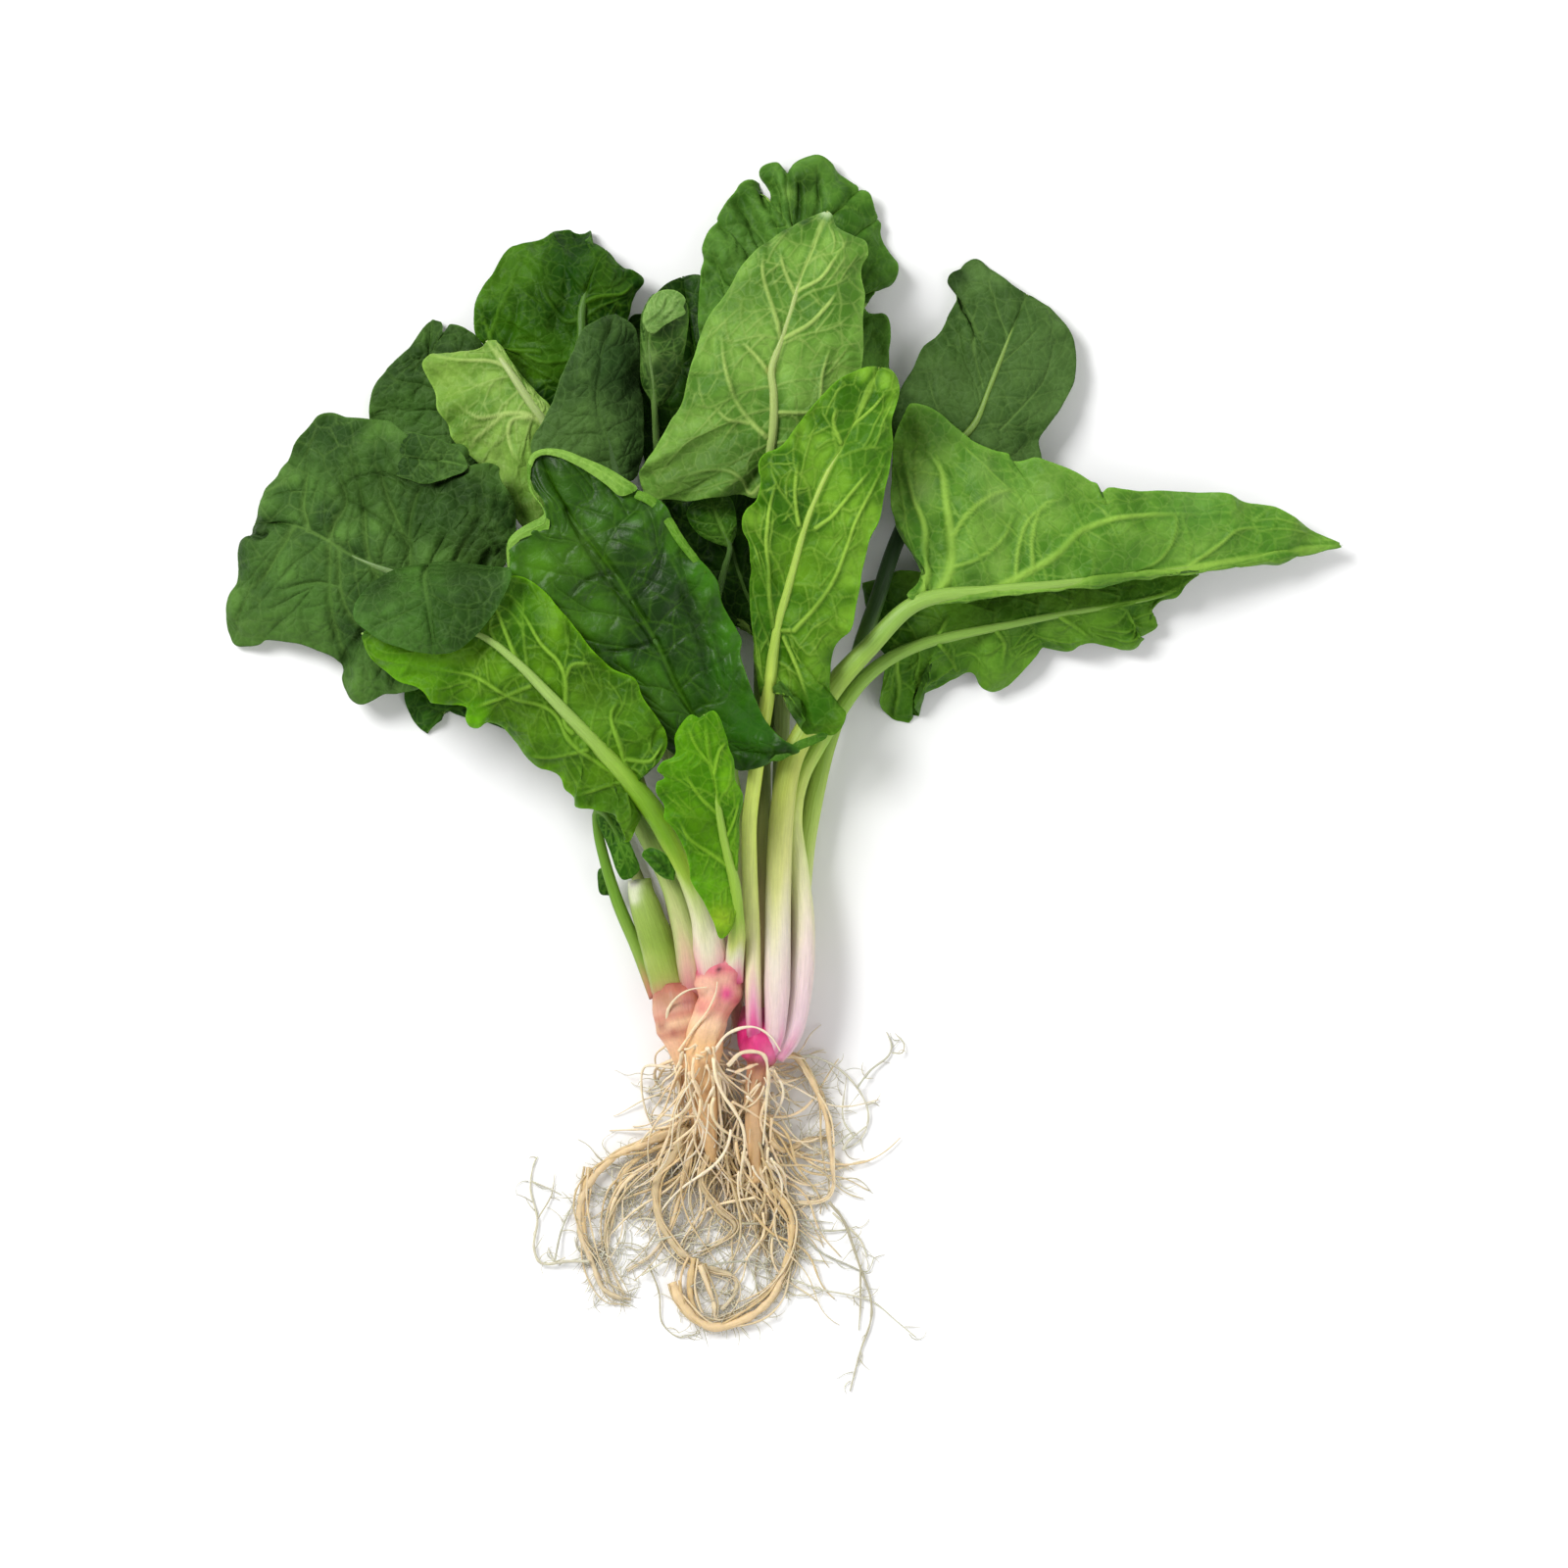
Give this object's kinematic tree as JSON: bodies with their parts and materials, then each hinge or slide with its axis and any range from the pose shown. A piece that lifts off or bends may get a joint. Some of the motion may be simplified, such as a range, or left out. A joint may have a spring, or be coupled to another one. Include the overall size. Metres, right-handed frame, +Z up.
{
  "type": "spinach bunch",
  "caption": "Bunch of root-on spinach lying flat: broad green leaves on pale stalks fan out from pink-tinged crowns, with pale washed roots trailing behind.",
  "frame": {"origin": "on the table, under the middle of the bounding box of the whole bunch", "axes": "+Y runs from the roots to the leaf tips, the longest extent; +X is to the right as the bunch is looked down on; +Z is up from the table, the shortest extent"},
  "size_m": [0.3188, 0.353, 0.0511],
  "materials": {
    "leaf_dark": "dark green leaf, matte to semi-gloss, quilted between the veins",
    "leaf_green": "mid green leaf with paler veins, satin",
    "leaf_pale": "pale yellow-green underside of a leaf with a raised pale rib, matte",
    "stalk": "smooth ribbed pale green stalk, satin",
    "crown_root": "moist crown, magenta pink fading to tan fibrous root, satin"
  },
  "bodies": {
    "root": {"leaf_front_upright": "leaf_pale", "leaf_front_dark": "leaf_dark", "leaf_front_left": "leaf_green", "leaf_young_front": "leaf_pale", "leaf_left_broad": "leaf_dark", "leaf_centre_pale": "leaf_pale", "leaf_centre_matte": "leaf_dark", "leaf_rolled_young": "leaf_pale", "leaf_small_oval": "leaf_dark", "leaf_top": "leaf_green", "leaf_upper_left": "leaf_green", "leaf_upper_right": "leaf_dark", "leaf_yellow": "leaf_pale", "leaf_pointing_right": "leaf_green", "leaf_lower_right": "leaf_green", "leaf_back_centre": "leaf_dark", "leaf_back_left": "leaf_dark", "leaf_back_low": "leaf_dark", "leaf_thin_left": "leaf_green", "stalk_broken": "stalk", "crown_left": "crown_root", "crown_front": "crown_root", "crown_right": "crown_root"}
  },
  "joints": []
}
